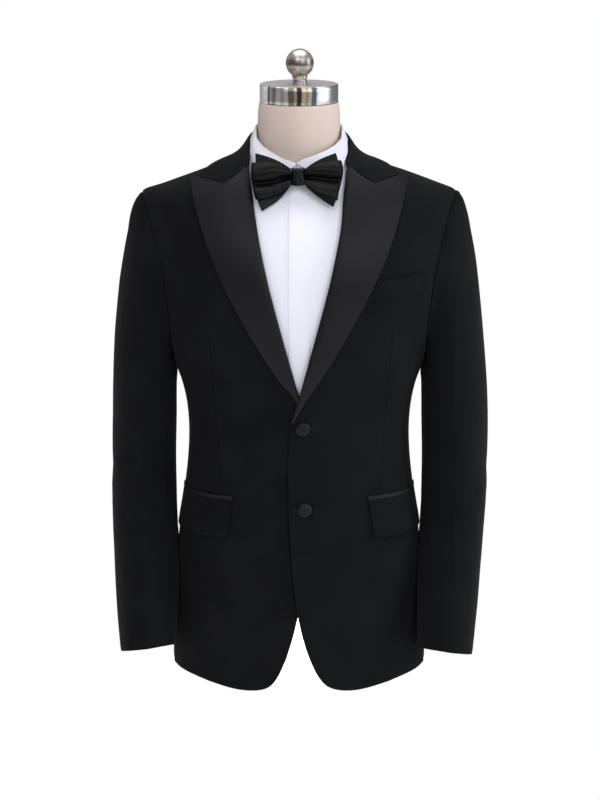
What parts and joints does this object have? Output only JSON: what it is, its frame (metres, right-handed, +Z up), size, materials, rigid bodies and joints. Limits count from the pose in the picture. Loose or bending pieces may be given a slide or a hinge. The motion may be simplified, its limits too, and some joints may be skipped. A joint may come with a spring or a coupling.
{
  "type": "tuxedo on dress form",
  "caption": "Single-breasted peak-lapel tuxedo jacket worn over a covered-placket dress shirt and bow tie on a limbless dress form with neck cap, finial and low foot.",
  "frame": {"origin": "centre of the underside of the form's foot, on the floor", "axes": "+Z up, -Y is the garment's front, +X is the wearer's left"},
  "size_m": [0.5542, 0.2668, 0.9369],
  "materials": {
    "jacket_wool": "black worsted wool, matt",
    "satin": "black silk satin, soft sheen",
    "shirt_cotton": "white poplin, matt",
    "form_linen": "natural linen over a moulded torso",
    "polished_chrome": "polished nickel-chrome",
    "white_lacquer": "white lacquer"
  },
  "bodies": {
    "root": {"back_left": "jacket_wool", "back_right": "jacket_wool", "bow_band": "satin", "bow_knot": "satin", "bow_tail_left": "satin", "bow_tail_right": "satin", "bow_wing_left": "satin", "bow_wing_right": "satin", "breast_welt": "jacket_wool", "button_lower": "satin", "button_upper": "satin", "collar": "jacket_wool", "finial": "polished_chrome", "form_foot": "white_lacquer", "form_torso": "form_linen", "front_left": "jacket_wool", "front_right": "jacket_wool", "lapel_left": "satin", "lapel_right": "satin", "neck_cap": "polished_chrome", "pocket_flap_left": "jacket_wool", "pocket_flap_right": "jacket_wool", "pocket_jet_left": "satin", "pocket_jet_right": "satin", "shirt_back": "shirt_cotton", "shirt_collar_leaf": "shirt_cotton", "shirt_collar_stand": "shirt_cotton", "shirt_front_left": "shirt_cotton", "shirt_front_right": "shirt_cotton", "shirt_placket": "shirt_cotton", "side_left": "jacket_wool", "side_right": "jacket_wool", "sleeve_fore_left": "jacket_wool", "sleeve_fore_right": "jacket_wool", "sleeve_top_left": "jacket_wool", "sleeve_top_right": "jacket_wool", "sleeve_under_left": "jacket_wool", "sleeve_under_right": "jacket_wool"}
  },
  "joints": []
}
